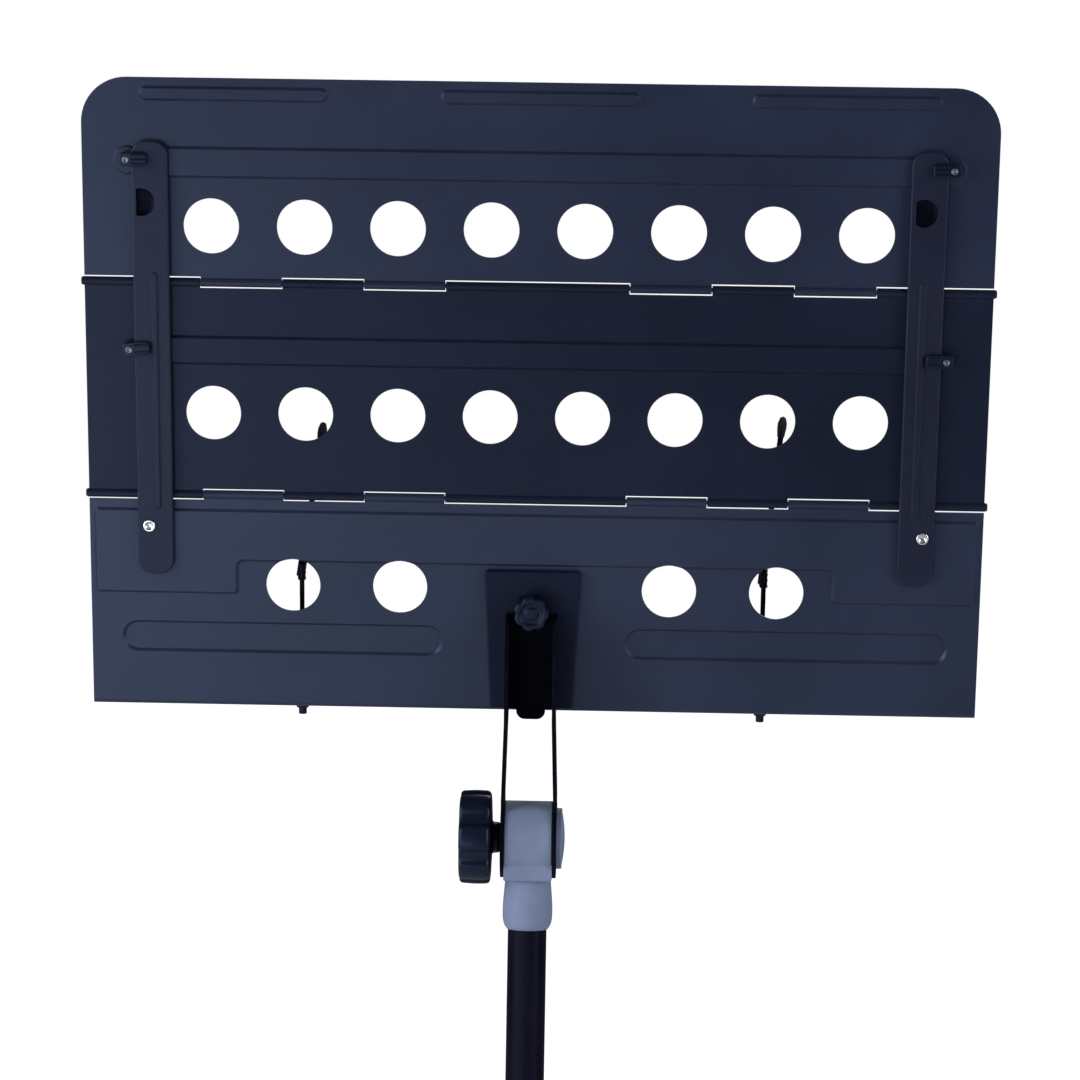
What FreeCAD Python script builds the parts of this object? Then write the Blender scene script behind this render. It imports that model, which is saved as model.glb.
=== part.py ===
"""Folding orchestra music stand: perforated three-panel desk, tilt head, telescopic mast, tripod.

Row frame, millimetres: origin on the floor under the mast, +Z up, -Y the audience side.
The desk is drawn upright in a desk frame (x across, y towards the player, z up the panels,
origin on the lower hinge axis) and then leaned back about the tilt axis.
"""
import FreeCAD
import Part
import math
import os

V = FreeCAD.Vector
X, Y, Z = V(1, 0, 0), V(0, 1, 0), V(0, 0, 1)

# ---- desk panels ----
DESK_W = 500.0
SHEET = 1.2
HALF = SHEET / 2
LOWER_H = 123.0
MIDDLE_H = 119.9
UPPER_H = 112.1
TOP_CORNER_R = 25.0
HOLE_R = 15.25
HOLE_PITCH = 51.3
HOLE_ROW_UPPER = MIDDLE_H + 31.3
HOLE_ROW_MIDDLE = 46.7
HOLE_ROW_LOWER = -51.4
LOWER_HOLES_X = (-135.8, -75.6, 75.6, 135.8)
BEAD_RISE = 1.5
PLATEAU_RISE = 1.4

# ---- the panels sit slightly to one side of the mast ----
DESK_OFFSET = 1.2

# ---- hinges between the panels ----
BARREL_R = 2.45
PIN_R = 1.25
BARREL_BORE_R = 1.3
EDGE_GAP = 3.2
KNUCKLES = (50.65, 95.75, 140.85, 185.95)
KNUCKLE_GAP = 0.22
BARREL_END = DESK_W / 2 + 0.8

# ---- ledge that carries the sheet music ----
BEND_R = 1.5
LEDGE_DEPTH = 58.0
LIP_H = 12.0
LEDGE_TOP = -LOWER_H + SHEET

# ---- swinging stiffener arms ----
ARM_X = 212.4
ARM_W = 20.0
ARM_TOP = 197.9
ARM_BOTTOM = -45.3
ARM_BACK = 3.4
ARM_T = 1.5
ARM_RIVET = (215.9, -17.4)
THUMB_Z = MIDDLE_H + 44.5
THUMB_R = 7.7
THUMB_X = {-1: (-5.1, -7.7), 1: (-2.6, -7.1)}

# ---- turn latches that hold the arms ----
LATCH_X = 225.0
LATCH_ROWS = {"middle": 82.9, "upper": 187.9}
LATCH_REACH = 11.2
LATCH_W = 7.6
LATCH_SEAT = {"middle": HALF, "upper": HALF + 1.1}

# ---- page holders ----
HOLDERS = {"left": (-133.5, 8.6, 83.0), "right": (129.8, 5.5, 90.0)}
HOLDER_PIVOT_Z = -106.0
HOLDER_ELBOW_Z = -46.0
HOLDER_ROD_Y = 25.6
HOLDER_SLIDE_Y = 30.2

# ---- bracket, yoke and clamp screw on the back of the desk ----
BRACKET_TOP = -40.4
BRACKET_BOTTOM = -LOWER_H + 2.7
CLAMP_Z = -61.5
WEB_BACK = 5.2
WEB_T = 2.0
FLANGE_OUT = 15.7
FLANGE_T = 2.0
FLANGE_DEPTH = 29.0
FLANGE_R = 22.6
YOKE_OUT = 14.4
YOKE_TOP = -64.5

# ---- tilt joint ----
TILT = 13.13
PIVOT_Y = -18.0
PIVOT_Z = -192.8
AXIS_H = 800.0
HEAD_R = 21.0
HEAD_HALF = 13.6
HEAD_DROP = 23.0
SOCKET_R = 14.15
SOCKET_END = 51.5
BOLT_R = 3.0

# ---- mast ----
TUBE_R = 11.0
TUBE_FROM, TUBE_TO = 190.0, AXIS_H - 26.0
SLEEVE_R = 14.0
SLEEVE_FROM, SLEEVE_TO = 40.0, 472.0
COLLAR_R = 20.0
SCREW_Z = 484.0

# ---- tripod base ----
LEG_AZIMUTHS = (-90.0, 30.0, 150.0)
HUB_R = 26.0
HUB_FROM, HUB_TO = 58.0, 110.0
LEG_PIVOT = (38.0, 84.0)
LEG_L = 304.0
LEG_W, LEG_H = 14.0, 20.0
FOOT_AT = 330.0
FOOT_R = 14.0
LEG_DROP = math.degrees(math.atan2(LEG_PIVOT[1] - 16.0, FOOT_AT - LEG_PIVOT[0]))


def cyl(radius, length, base, along):
    return Part.makeCylinder(radius, length, base, along)


def box(x0, x1, y0, y1, z0, z1):
    return Part.makeBox(x1 - x0, y1 - y0, z1 - z0, V(x0, y0, z0))


def fuse(shapes):
    shapes = list(shapes)
    whole = shapes[0]
    if len(shapes) > 1:
        whole = whole.multiFuse(shapes[1:])
    return whole.removeSplitter()


def cut(shape, tools):
    tools = list(tools)
    if not tools:
        return shape
    return shape.cut(tools[0] if len(tools) == 1 else Part.makeCompound(tools))


def outline(corners, at):
    """Closed wire with a radius (u, v, r) at every corner; at(u, v) puts a point in space."""
    edges = []
    starts = []
    ends = []
    mids = []
    count = len(corners)
    for i, (u, v, r) in enumerate(corners):
        pu, pv = corners[i - 1][:2]
        nu, nv = corners[(i + 1) % count][:2]
        a = V(pu - u, pv - v, 0).normalize()
        b = V(nu - u, nv - v, 0).normalize()
        here = V(u, v, 0)
        if r <= 0:
            starts.append(here)
            ends.append(here)
            mids.append(None)
            continue
        half = a.getAngle(b) / 2
        run = r / math.tan(half)
        centre = here + (a + b).normalize() * (r / math.sin(half))
        starts.append(here + a * run)
        ends.append(here + b * run)
        mids.append(centre + (here - centre).normalize() * r)
    for i in range(count):
        if mids[i] is not None:
            arc = [at(p.x, p.y) for p in (starts[i], mids[i], ends[i])]
            edges.append(Part.Arc(*arc).toShape())
        follow = starts[(i + 1) % count]
        if (follow - ends[i]).Length > 1e-6:
            edges.append(Part.makeLine(at(ends[i].x, ends[i].y), at(follow.x, follow.y)))
    return Part.Wire(edges)


def plate(corners, y0, y1):
    """Flat piece in the plane of the desk, from y0 to y1."""
    wire = outline(corners, lambda u, v: V(u, y0, v))
    return Part.Face(wire).extrude(V(0, y1 - y0, 0))


def side_plate(corners, x0, x1):
    """Flat piece across x, its corners given as (y, z, r)."""
    wire = outline(corners, lambda u, v: V(x0, u, v))
    return Part.Face(wire).extrude(V(x1 - x0, 0, 0))


def rect(x0, x1, z0, z1, r, inset=0.0):
    r = max(r - inset, 0.2)
    x0, x1, z0, z1 = x0 + inset, x1 - inset, z0 + inset, z1 - inset
    return [(x0, z0, r), (x1, z0, r), (x1, z1, r), (x0, z1, r)]


def stadium(cx, cz, length, height, inset=0.0):
    r = height / 2 - inset
    half = length / 2 - inset
    top, bottom = cz + r, cz - r
    shave = r - 0.02
    return [(cx - half, bottom, shave), (cx + half, bottom, shave),
            (cx + half, top, shave), (cx - half, top, shave)]


def drafted(shape_of, y_base, y_top, draft):
    """Low raised pad with sloping sides; shape_of(inset) gives its corners."""
    low = outline(shape_of(0.0), lambda u, v: V(u, y_base, v))
    high = outline(shape_of(draft), lambda u, v: V(u, y_top, v))
    return Part.makeLoft([low, high], True, True)


def emboss(sheet, shape_of, rise=BEAD_RISE, towards=-1):
    """Press a shape out of the sheet: a pad on one face, the matching pocket on the other."""
    face = towards * HALF
    pad = drafted(shape_of, face - towards * 0.2, face + towards * rise, rise + 0.2)

    def inner(inset):
        return shape_of(inset + 0.5)

    pocket = drafted(inner, -face - towards * 0.2, -face + towards * rise, rise + 0.2)
    return sheet.fuse(pad).cut(pocket)


def plateau(inset):
    """Corners of the raised field of the lower panel, deeper at both ends than in the middle."""
    edge, step = 247.8 - inset, 166.5 + inset
    top, middle, bottom = -8.0 - inset, -38.4 + inset, -57.5 + inset
    out, hollow = max(3.0 - inset, 0.2), 3.0 + inset
    right = [(step, middle, hollow), (step, bottom, out), (edge, bottom, out), (edge, top, out)]
    left = [(-x, z, r) for x, z, r in reversed(right)]
    return right + left


def hinge_spans(own_middle):
    spans = [(-KNUCKLES[0], KNUCKLES[0])]
    for side in (1, -1):
        for i in range(3):
            spans.append(tuple(sorted((side * KNUCKLES[i], side * KNUCKLES[i + 1]))))
        spans.append(tuple(sorted((side * KNUCKLES[3], side * BARREL_END))))
    chosen = []
    for x0, x1 in spans:
        zone = sum(1 for k in KNUCKLES if abs(x0 + x1) / 2 > k)
        if (zone % 2 == 0) == own_middle:
            low = x0 if x0 == -BARREL_END else x0 + KNUCKLE_GAP
            high = x1 if x1 == BARREL_END else x1 - KNUCKLE_GAP
            chosen.append((low, high))
    return chosen


def barrels(z_axis, own_middle, up):
    """Knuckles of one panel with the short webs that join them to the sheet."""
    parts = []
    for x0, x1 in hinge_spans(own_middle):
        parts.append(cyl(BARREL_R, x1 - x0, V(x0, 0, z_axis), X))
        z0, z1 = sorted((z_axis + up * 1.6, z_axis + up * (EDGE_GAP + 0.3)))
        wx0, wx1 = max(x0, -DESK_W / 2), min(x1, DESK_W / 2)
        parts.append(box(wx0, wx1, -HALF, HALF, z0, z1))
    return parts


def barrel_bore(z_axis):
    return cyl(BARREL_BORE_R, DESK_W + 20, V(-DESK_W / 2 - 10, 0, z_axis), X)


def hole_row(xs, z):
    return [cyl(HOLE_R, 20, V(x, -10, z), Y) for x in xs]


def eight_holes(z):
    return hole_row([(i - 3.5) * HOLE_PITCH for i in range(8)], z)


def latch_holes(z):
    return [cyl(1.37, 20, V(s * LATCH_X, -10, z), Y) for s in (-1, 1)]


def upper_panel():
    bottom, top = MIDDLE_H + EDGE_GAP, MIDDLE_H + UPPER_H
    edge = DESK_W / 2
    sheet = plate([(-edge, bottom, 0), (edge, bottom, 0),
                   (edge, top, TOP_CORNER_R), (-edge, top, TOP_CORNER_R)], -HALF, HALF)
    sheet = emboss(sheet, lambda d: rect(-206.0, 206.0, 177.3, 195.0, 3.0, d))
    for cx, length in ((-166.8, 103.7), (0.5, 109.0), (166.8, 103.7)):
        sheet = emboss(sheet, lambda d, c=cx, n=length: stadium(c, 223.4, n, 8.6, d))
    z = LATCH_ROWS["upper"]
    for side in (-1, 1):
        seat = cyl(8.0, LATCH_SEAT["upper"] - HALF, V(side * LATCH_X, -HALF, z - 1.0), -Y)
        sheet = sheet.fuse(seat.makeChamfer(1.0, [seat.Edges[0]]))
    sheet = fuse([sheet] + barrels(MIDDLE_H, False, 1))
    return cut(sheet, [barrel_bore(MIDDLE_H)] + eight_holes(HOLE_ROW_UPPER) + latch_holes(z))


def middle_panel():
    edge = DESK_W / 2
    sheet = box(-edge, edge, -HALF, HALF, EDGE_GAP, MIDDLE_H - EDGE_GAP)
    sheet = emboss(sheet, lambda d: rect(-206.0, 206.0, 73.6, 90.4, 3.0, d))
    sheet = fuse([sheet] + barrels(0.0, True, 1) + barrels(MIDDLE_H, True, -1))
    tools = [barrel_bore(0.0), barrel_bore(MIDDLE_H)] + eight_holes(HOLE_ROW_MIDDLE)
    return cut(sheet, tools + latch_holes(LATCH_ROWS["middle"]))


def lower_panel():
    edge = DESK_W / 2
    bend_z = -LOWER_H + BEND_R + SHEET
    sheet = box(-edge, edge, -HALF, HALF, bend_z, -EDGE_GAP)
    sheet = emboss(sheet, plateau, PLATEAU_RISE)
    for side in (-1, 1):
        sheet = emboss(sheet, lambda d, s=side: stadium(s * 142.0, -82.6, 183.0, 19.5, d), BEAD_RISE, 1)
    ring = cyl(BEND_R + SHEET, DESK_W, V(-edge, BEND_R + HALF, bend_z), X)
    ring = ring.cut(cyl(BEND_R, DESK_W, V(-edge, BEND_R + HALF, bend_z), X))
    ring = ring.common(box(-edge, edge, -HALF, BEND_R + HALF, -LOWER_H, bend_z))
    sheet = fuse([sheet, ring] + barrels(0.0, False, -1))
    tools = [barrel_bore(0.0)] + hole_row(LOWER_HOLES_X, HOLE_ROW_LOWER)
    for side in (-1, 1):
        tools.append(cyl(2.52, 20, V(side * ARM_RIVET[0], -10, ARM_RIVET[1]), Y))
    return cut(sheet, tools)


def ledge():
    edge = DESK_W / 2
    start = BEND_R + HALF
    floor = box(-edge, edge, start, LEDGE_DEPTH, -LOWER_H, LEDGE_TOP)
    lip = plate(rect(-edge, edge, -LOWER_H, -LOWER_H + LIP_H, 0.2), LEDGE_DEPTH - SHEET, LEDGE_DEPTH)
    corners = box(-edge, edge, LEDGE_DEPTH - SHEET, LEDGE_DEPTH, -LOWER_H + 4, -LOWER_H + LIP_H)
    rounded = plate([(-edge, -LOWER_H + 4, 0), (edge, -LOWER_H + 4, 0),
                     (edge, -LOWER_H + LIP_H, 7), (-edge, -LOWER_H + LIP_H, 7)],
                    LEDGE_DEPTH - SHEET, LEDGE_DEPTH)
    hem = cyl(1.1, DESK_W - 16, V(-edge + 8, LEDGE_DEPTH - HALF, -LOWER_H + LIP_H), X)
    tray = fuse([floor, lip.cut(corners), rounded, hem])
    return cut(tray, [cyl(2.45, 10, V(x, HOLDER_ROD_Y, -LOWER_H - 4), Z) for x, _, _ in HOLDERS.values()])


def hinge_pin(z_axis):
    length = 2 * BARREL_END + 0.2
    pin = cyl(PIN_R, length, V(-length / 2, 0, z_axis), X)
    heads = [cyl(2.1, 0.7, V(side * length / 2, 0, z_axis), X * side) for side in (-1, 1)]
    return fuse([pin] + heads)


def arm(side):
    """Flat steel arm on the back of the panels, with a pressed rib and a half-moon thumb hole."""
    x0, x1 = ARM_X - ARM_W / 2, ARM_X + ARM_W / 2
    back = -ARM_BACK - ARM_T
    body = plate([(x0, ARM_BOTTOM, 8), (x1, ARM_BOTTOM, 8), (x1, ARM_TOP, 8), (x0, ARM_TOP, 8)],
                 back, -ARM_BACK)
    body = body.makeFillet(0.9, [e for e in body.Edges if e.BoundBox.YMax < back + 0.1])
    rib = drafted(lambda d: rect(ARM_X - 3.7, ARM_X + 0.8, -8.0, 126.0, 2.1, d),
                  back + 0.2, back - 0.9, 1.0)
    body = body.fuse(rib)
    if side < 0:
        body = body.mirror(V(0, 0, 0), X)
    centre, flat = [side * ARM_X + dx for dx in THUMB_X[side]]
    moon = cyl(THUMB_R, 20, V(centre, -20, THUMB_Z), Y)
    moon = moon.common(box(flat, centre + 9, -20, 0, THUMB_Z - 10, THUMB_Z + 10))
    bore = cyl(2.56, 20, V(side * ARM_RIVET[0], -20, ARM_RIVET[1]), Y)
    return cut(body, [moon, bore])


def arm_rivets():
    parts = []
    for side in (-1, 1):
        base = V(side * ARM_RIVET[0], 0, ARM_RIVET[1])
        front = HALF - PLATEAU_RISE
        shank = cyl(2.5, front + ARM_BACK + ARM_T + 0.5, base + V(0, front + 0.1, 0), -Y)
        head = cyl(3.4, 1.1, base + V(0, -ARM_BACK - ARM_T - 0.1, 0), -Y)
        head = head.makeFillet(0.5, [e for e in head.Edges if e.BoundBox.YMax < -ARM_BACK - ARM_T - 1])
        peened = cyl(3.6, 0.9, base + V(0, front + 0.02, 0), Y)
        dimple = cyl(1.6, 3.0, base + V(0, -4.4, 0), -Y)
        parts.append(fuse([shank, head, peened]).cut(dimple))
    return Part.makeCompound(parts)


def arm_spacers():
    rings = []
    for side in (-1, 1):
        base = V(side * ARM_RIVET[0], -HALF - PLATEAU_RISE, ARM_RIVET[1])
        ring = cyl(6.0, ARM_BACK - PLATEAU_RISE - HALF - 0.1, base, -Y)
        rings.append(ring.cut(cyl(2.56, 10, base + V(0, 1, 0), -Y)))
    return Part.makeCompound(rings)


def latch(side, row):
    """Small turn button: a finger with lengthwise ribs on a slim boss, its tip over the arm."""
    z = LATCH_ROWS[row]
    seat = LATCH_SEAT[row] + 0.1
    inwards = -side
    tip = side * LATCH_X + inwards * LATCH_REACH
    tail = side * LATCH_X - inwards * 3.7
    x0, x1 = sorted((tip, tail))
    finger = plate(rect(x0, x1, z - LATCH_W / 2, z + LATCH_W / 2, 2.4), -7.8, -5.3)
    finger = finger.makeFillet(0.5, [e for e in finger.Edges if e.BoundBox.YMax < -7.7])
    ridges = []
    for dz in ((-2.5, 0.0, 2.5) if row == "upper" else (-2.0, 2.0)):
        ridges.append(cyl(0.75, LATCH_REACH - 3.6, V(tip - inwards * 0.8, -7.75, z + dz), X * side))
    boss = cyl(2.1, 5.5 - seat, V(side * LATCH_X, -seat, z), -Y)
    bore = cyl(1.41, 20, V(side * LATCH_X, 0, z), -Y)
    button = fuse([finger, boss] + ridges).cut(bore)
    if side < 0 and row == "middle":
        button.rotate(V(side * LATCH_X, 0, z), Y, -5.0)
    return button


def latch_rivets(row):
    parts = []
    for side in (-1, 1):
        base = V(side * LATCH_X, 0, LATCH_ROWS[row])
        shank = cyl(1.35, 9.0, base + V(0, 1.0, 0), -Y)
        head = cyl(2.3, 0.9, base + V(0, -7.9, 0), -Y)
        peened = cyl(2.4, 0.6, base + V(0, HALF + 0.02, 0), Y)
        parts.append(fuse([shank, head, peened]))
    return Part.makeCompound(parts)


def holder_bases():
    """Foot on the ledge with an upright cheek that carries the swing pin of each page holder."""
    parts = []
    for x, _, _ in HOLDERS.values():
        foot = cyl(6.5, 2.4, V(x, HOLDER_ROD_Y, LEDGE_TOP), Z)
        stud = cyl(2.4, 6.0, V(x, HOLDER_ROD_Y, LEDGE_TOP + 1), -Z)
        cheek = plate([(x - 4, LEDGE_TOP + 1, 0), (x + 4, LEDGE_TOP + 1, 0),
                       (x + 4, HOLDER_PIVOT_Z + 4, 3.8), (x - 4, HOLDER_PIVOT_Z + 4, 3.8)],
                      HOLDER_ROD_Y - 4.6, HOLDER_ROD_Y - 1.8)
        pin = cyl(1.2, 5.2, V(x, HOLDER_ROD_Y - 3.2, HOLDER_PIVOT_Z), Y)
        head = cyl(2.0, 0.6, V(x, HOLDER_ROD_Y + 1.7, HOLDER_PIVOT_Z), Y)
        parts.append(fuse([foot, stud, cheek, pin, head]))
    return Part.makeCompound(parts)


def holder_nuts():
    parts = []
    for x, _, _ in HOLDERS.values():
        flange = cyl(6.6, 1.6, V(x, HOLDER_ROD_Y, -LOWER_H), -Z)
        dome = Part.makeCone(5.6, 3.4, 6.2, V(x, HOLDER_ROD_Y, -LOWER_H - 1.6), -Z)
        nose = cyl(2.3, 3.8, V(x, HOLDER_ROD_Y, -LOWER_H - 7.8), -Z)
        bore = cyl(2.42, 6.2, V(x, HOLDER_ROD_Y, -LOWER_H), -Z)
        parts.append(fuse([flange, dome, nose]).cut(bore))
    return Part.makeCompound(parts)


def slide_axis(which):
    """Base point and direction of a page holder's sliding rod."""
    x, lean, _ = HOLDERS[which]
    a = math.radians(lean)
    return V(x, HOLDER_SLIDE_Y, HOLDER_ELBOW_Z), V(math.sin(a), 0, math.cos(a))


def holder_rod(which):
    x = HOLDERS[which][0]
    eye = cyl(3.2, 3.0, V(x, HOLDER_ROD_Y - 1.5, HOLDER_PIVOT_Z), Y)
    rod = cyl(1.4, HOLDER_ELBOW_Z - HOLDER_PIVOT_Z - 3.0, V(x, HOLDER_ROD_Y, HOLDER_PIVOT_Z), Z)
    bore = cyl(1.26, 10, V(x, HOLDER_ROD_Y - 5, HOLDER_PIVOT_Z), Y)
    return fuse([eye, rod]).cut(bore)


def holder_sleeve(which):
    x = HOLDERS[which][0]
    elbow, along = slide_axis(which)
    z0 = HOLDER_ELBOW_Z - 9.0
    grip = cyl(2.1, 9.0, V(x, HOLDER_ROD_Y, z0), Z)
    tube = cyl(2.5, 9.0, elbow - along * 8.0, along)
    bridge = box(x - 1.2, x + 1.2, HOLDER_ROD_Y + 1.0, HOLDER_SLIDE_Y - 1.0, z0 + 1, z0 + 8)
    rings = []
    for i in range(3):
        rings.append(cyl(2.35, 0.9, V(x, HOLDER_ROD_Y, z0 + 0.4 + 3.4 * i), Z))
    solid = fuse([grip, tube, bridge] + rings)
    socket = cyl(1.42, 6.1, V(x, HOLDER_ROD_Y, z0 - 0.1), Z)
    return solid.cut(socket).cut(cyl(1.65, 40, elbow - along * 20, along))


def holder_slider(which):
    elbow, along = slide_axis(which)
    return cyl(1.6, HOLDERS[which][2] + 2.0, elbow - along * 9.0, along)


def holder_tip(which):
    """Soft drop-shaped cap on the end of the sliding rod."""
    elbow, along = slide_axis(which)
    reach = HOLDERS[which][2]
    base = elbow + along * (reach - 12.0)
    drop = [(0, 0), (2.0, 0), (2.6, 5.2), (2.6, 8.0), (1.6, 11.2), (0, 12.0)]
    points = [V(r, 0, h) for r, h in drop]
    wire = Part.makePolygon(points + [points[0]])
    solid = Part.Face(wire).revolve(V(0, 0, 0), Z, 360)
    solid = solid.cut(cyl(1.62, 5.1, V(0, 0, -0.1), Z))
    solid.Placement = FreeCAD.Placement(base, FreeCAD.Rotation(Z, along))
    return solid


def bracket():
    """Tapered pocket pressed from sheet, on the back of the lower panel."""
    bottom = BRACKET_BOTTOM
    outer = plate([(-23.3, bottom, 1.5), (23.3, bottom, 1.5),
                   (26.9, BRACKET_TOP, 2.5), (-26.9, BRACKET_TOP, 2.5)], -5.0, -HALF)
    outer = outer.makeFillet(1.0, [e for e in outer.Edges if e.BoundBox.YMax < -4.9])
    inner = plate([(-21.6, bottom - 2, 0), (21.6, bottom - 2, 0),
                   (25.2, BRACKET_TOP - 1.6, 1.5), (-25.2, BRACKET_TOP - 1.6, 1.5)], -3.5, 0)
    screw = cyl(3.06, 10, V(0, 0, CLAMP_Z), -Y)
    lips = box(-40, 40, -HALF - 0.01, 0, -130, 0)
    return outer.cut(inner).cut(screw).cut(lips)


def bracket_nut():
    points = []
    for i in range(7):
        a = math.radians(60 * i)
        points.append(V(5.8 * math.cos(a), -3.4, CLAMP_Z + 5.8 * math.sin(a)))
    solid = Part.Face(Part.makePolygon(points)).extrude(V(0, 2.6, 0))
    return solid.cut(cyl(3.06, 10, V(0, 0, CLAMP_Z), -Y))


def flange_band(side):
    """Front view of one flange as a band: upright beside the head, then drawn in to the web."""
    bend, straight = PIVOT_Z + FLANGE_R + 2, -122.0
    line = [(FLANGE_OUT, PIVOT_Z - FLANGE_R - 2), (FLANGE_OUT, bend), (YOKE_OUT, straight),
            (YOKE_OUT, -50.0)]
    outer = [(side * x, z, 0) for x, z in line]
    inner = [(side * (x - FLANGE_T), z, 0) for x, z in reversed(line)]
    return plate(outer + inner, -60.0, 20.0)


def flange_profile(side):
    """Side view of one flange: a long strip from the web down to the round end at the tilt axis."""
    x0, x1 = sorted((side * 8.0, side * 20.0))
    strip = [(-WEB_BACK, YOKE_TOP, 0), (-WEB_BACK, -112, 10), (PIVOT_Y + 11, -140, 20),
             (PIVOT_Y + 11, PIVOT_Z, 0), (PIVOT_Y - 11, PIVOT_Z, 0),
             (-FLANGE_DEPTH, -84, 9), (-WEB_BACK - 8, YOKE_TOP, 3)]
    end = cyl(FLANGE_R, x1 - x0, V(x0, PIVOT_Y, PIVOT_Z), X)
    return fuse([side_plate(strip, x0, x1), end])


def yoke():
    """Web with a tongue behind the desk and two long flanges down to the tilt axis."""
    w0, w1 = -WEB_BACK - WEB_T, -WEB_BACK
    web = plate([(-8.2, -125.8, 5), (8.2, -125.8, 5), (8.2, -120, 0.5), (YOKE_OUT, -119, 2),
                 (YOKE_OUT, YOKE_TOP, 2), (8.3, YOKE_TOP, 1.5), (8.3, -53.5, 6), (-8.3, -53.5, 6),
                 (-8.3, YOKE_TOP, 1.5), (-YOKE_OUT, YOKE_TOP, 2), (-YOKE_OUT, -119, 2),
                 (-8.2, -120, 0.5)], w0, w1)
    flanges = [flange_band(side).common(flange_profile(side)) for side in (-1, 1)]
    body = fuse([web] + flanges)
    bore = cyl(BOLT_R + 0.06, 60, V(-30, PIVOT_Y, PIVOT_Z), X)
    return body.cut(bore).cut(cyl(3.06, 40, V(0, 5, CLAMP_Z), -Y))


def lobed_knob(radius, height, lobes, hub_r, hub_h, bore_r):
    """Star knob along +Z: a neck at z = 0, then the lobed grip with eased rims."""
    body = cyl(radius, height, V(0, 0, hub_h), Z)
    body = body.makeFillet(height * 0.12, [e for e in body.Edges if len(e.Vertexes) == 1])
    scallop = radius * math.pi / lobes * 0.42
    tools = []
    for i in range(lobes):
        a = 2 * math.pi * (i + 0.5) / lobes
        centre = V(math.cos(a), math.sin(a), 0) * (radius + scallop * 0.55)
        tools.append(cyl(scallop, height + 2, centre + V(0, 0, hub_h - 1), Z))
    body = cut(body, tools)
    dish = Part.makeCone(radius * 0.62, radius * 0.52, height * 0.1, V(0, 0, hub_h + height), -Z)
    neck = cyl(hub_r, hub_h + 1.0, V(0, 0, 0), Z)
    bore = cyl(bore_r, hub_h + height * 0.72, V(0, 0, -0.1), Z)
    return fuse([body.cut(dish), neck]).cut(bore)


def placed(shape, base, along, turn=0.0):
    spin = FreeCAD.Rotation(Z, along).multiply(FreeCAD.Rotation(Z, turn))
    shape.Placement = FreeCAD.Placement(base, spin)
    return shape


def desk_knob():
    return placed(lobed_knob(9.8, 9.5, 7, 6.0, 2.0, 3.0), V(0, -WEB_BACK - WEB_T - 0.2, CLAMP_Z), -Y)


def desk_screw():
    return cyl(3.0, 14.4, V(0, -0.9, CLAMP_Z), -Y)


def socket_outline():
    """Half section of the mast socket: a slight barrel shape over a long rounded lip."""
    height = SOCKET_END - HEAD_DROP + 0.5
    profile = [(-2.6, 0.0), (-1.1, 0.075), (-0.2, 0.19), (0.0, 0.33), (-0.15, 0.52), (-0.7, 0.75),
               (-1.2, 1.0)]
    curve = Part.BSplineCurve()
    curve.interpolate([V(SOCKET_R + dr, 0, share * height) for dr, share in profile])
    top, bottom = profile[-1][0], profile[0][0]
    rim = Part.makePolygon([V(SOCKET_R + top, 0, height), V(0, 0, height), V(0, 0, 0),
                            V(SOCKET_R + bottom, 0, 0)])
    return Part.Wire([curve.toShape()] + rim.Edges)


def tilt_head():
    """Clutch housing: a drum on a square foot between the flanges, over the mast socket."""
    axis = V(0, 0, AXIS_H)
    drum = cyl(HEAD_R, 2 * HEAD_HALF, axis - X * HEAD_HALF, X)
    drum = drum.makeFillet(0.8, [e for e in drum.Edges if len(e.Vertexes) == 1])
    block = box(-HEAD_HALF, HEAD_HALF, -15.5, 15.5, AXIS_H - HEAD_DROP, AXIS_H - 10)
    block = block.makeFillet(0.8, [e for e in block.Edges if e.BoundBox.ZMax < AXIS_H - 20])
    socket = Part.Face(socket_outline()).revolve(V(0, 0, 0), Z, 360)
    socket.translate(axis - Z * SOCKET_END)
    body = fuse([drum, block, socket])
    mouth = cyl(TUBE_R + 0.02, 60, V(0, 0, TUBE_TO - 60), Z)
    return body.cut(mouth).cut(cyl(BOLT_R + 0.02, 60, axis - X * 30, X))


def tilt_bolt():
    axis = V(0, 0, AXIS_H)
    shank = cyl(BOLT_R, 50.0, axis - X * 33.5, X)
    return shank


def tilt_cap():
    """Shallow domed cover on the right-hand flange."""
    start = FLANGE_OUT + 0.15
    disc = cyl(17.2, 3.0, V(start, 0, AXIS_H), X)
    disc = disc.makeFillet(0.5, [e for e in disc.Edges if e.BoundBox.XMin > start + 1])
    ball_r = 73.0
    dome = Part.makeSphere(ball_r, V(start + 4.6 - ball_r, 0, AXIS_H))
    dome = dome.common(cyl(15.2, 6.0, V(start + 1, 0, AXIS_H), X))
    return fuse([disc, dome]).cut(cyl(BOLT_R + 0.02, 1.0, V(start - 0.1, 0, AXIS_H), X))


def tilt_knob():
    base = V(-FLANGE_OUT - 0.15, 0, AXIS_H)
    return placed(lobed_knob(26.7, 17.8, 7, 8.8, 5.3, BOLT_R + 0.05), base, -X, 17.5)


def inner_tube():
    tube = cyl(TUBE_R, TUBE_TO - TUBE_FROM, V(0, 0, TUBE_FROM), Z)
    return tube.cut(cyl(TUBE_R - 1.2, TUBE_TO - TUBE_FROM + 2, V(0, 0, TUBE_FROM - 1), Z))


def tube_plug():
    """Guide plug in the foot of the sliding tube, running inside the outer tube."""
    skirt = cyl(12.42, 14, V(0, 0, TUBE_FROM - 14), Z)
    stem = cyl(TUBE_R - 1.22, 20, V(0, 0, TUBE_FROM - 1), Z)
    return fuse([skirt, stem]).cut(cyl(6.0, 50, V(0, 0, TUBE_FROM - 15), Z))


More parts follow.
